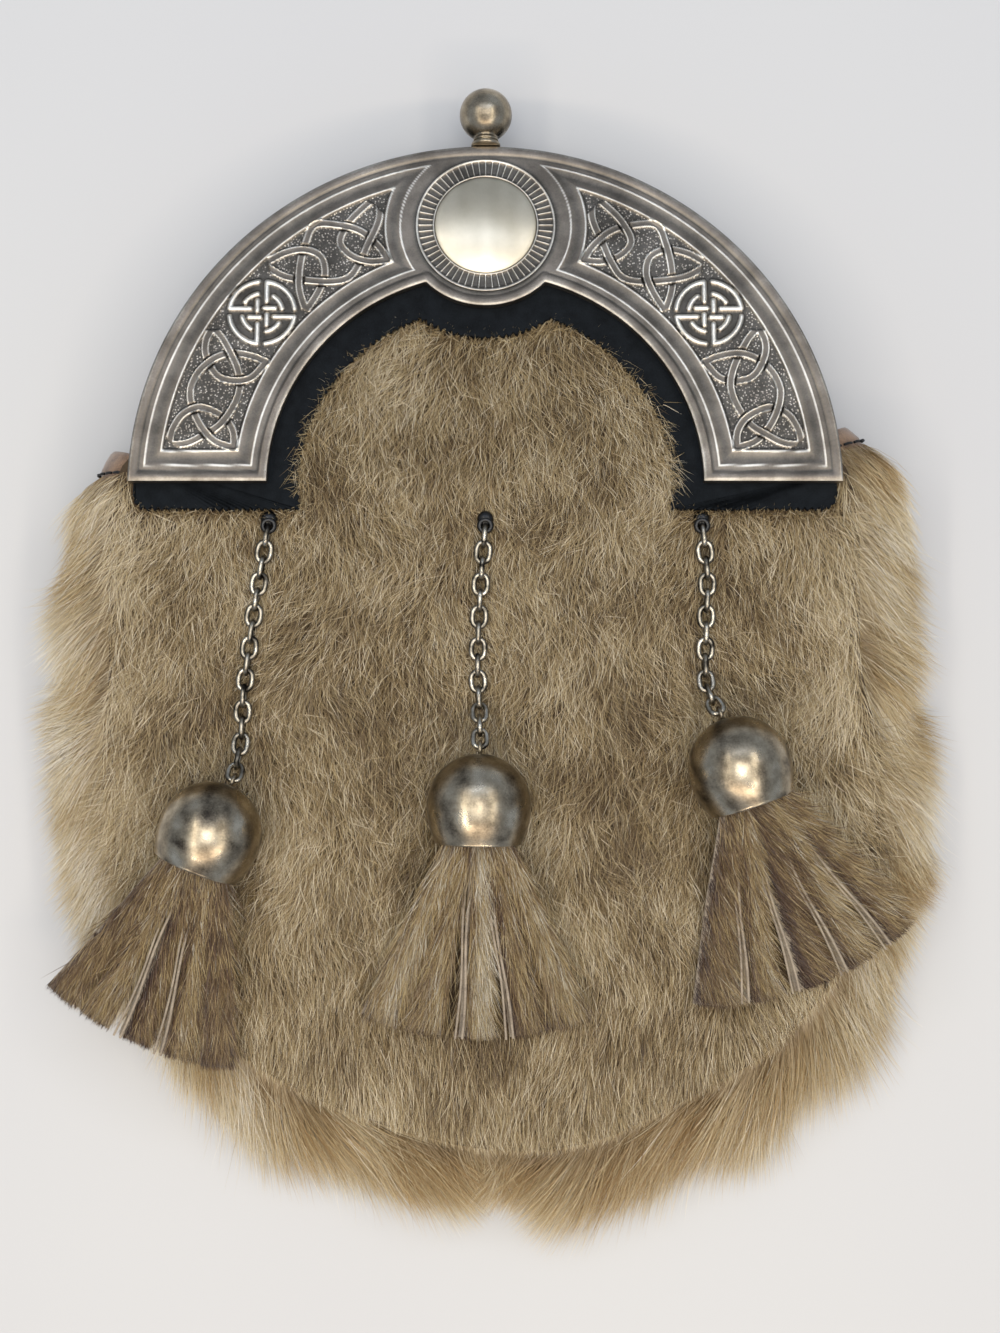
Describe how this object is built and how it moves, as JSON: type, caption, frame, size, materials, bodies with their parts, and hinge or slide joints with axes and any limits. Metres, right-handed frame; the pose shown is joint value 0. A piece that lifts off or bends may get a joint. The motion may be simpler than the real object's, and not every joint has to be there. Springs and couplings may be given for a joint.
{
  "type": "sporran pouch",
  "caption": "Fur sporran pouch lying on its back, with a half-round knotwork metal top, a ball finial, and chains that end in capped fur tassels.",
  "frame": {"origin": "on the flat back that it lies on, in the middle of its width at the ball finial and of its length", "axes": "+Z out of the front, +Y towards the ball finial, +X to the right as the front is seen"},
  "size_m": [0.2257, 0.279, 0.0555],
  "materials": {
    "antiqued_metal": "cast white metal, silver plated, antiqued and rubbed back",
    "chain_metal": "darkened silver-plated wire",
    "black_lacquer": "black enamel",
    "black_felted_leather": "matt black, pinked edge",
    "black_leather": "satin grain",
    "brown_hide": "suede",
    "taupe_fur": "short dense natural fur on the hide",
    "cream_fur": "longer natural fur on the hide"
  },
  "bodies": {
    "root": {"back_panel": "black_leather", "gusset": "brown_hide", "gusset_fur": "cream_fur", "front_panel": "taupe_fur", "flap": "black_felted_leather", "cantle": "antiqued_metal", "ball_finial": "antiqued_metal", "chain_eye_left": "black_lacquer", "chain_eye_centre": "black_lacquer", "chain_eye_right": "black_lacquer", "chain_left": "chain_metal", "chain_centre": "chain_metal", "chain_right": "chain_metal", "tassel_cap_left": "antiqued_metal", "tassel_cap_centre": "antiqued_metal", "tassel_cap_right": "antiqued_metal", "tassel_left": "cream_fur", "tassel_centre": "cream_fur", "tassel_right": "cream_fur"}
  },
  "joints": []
}
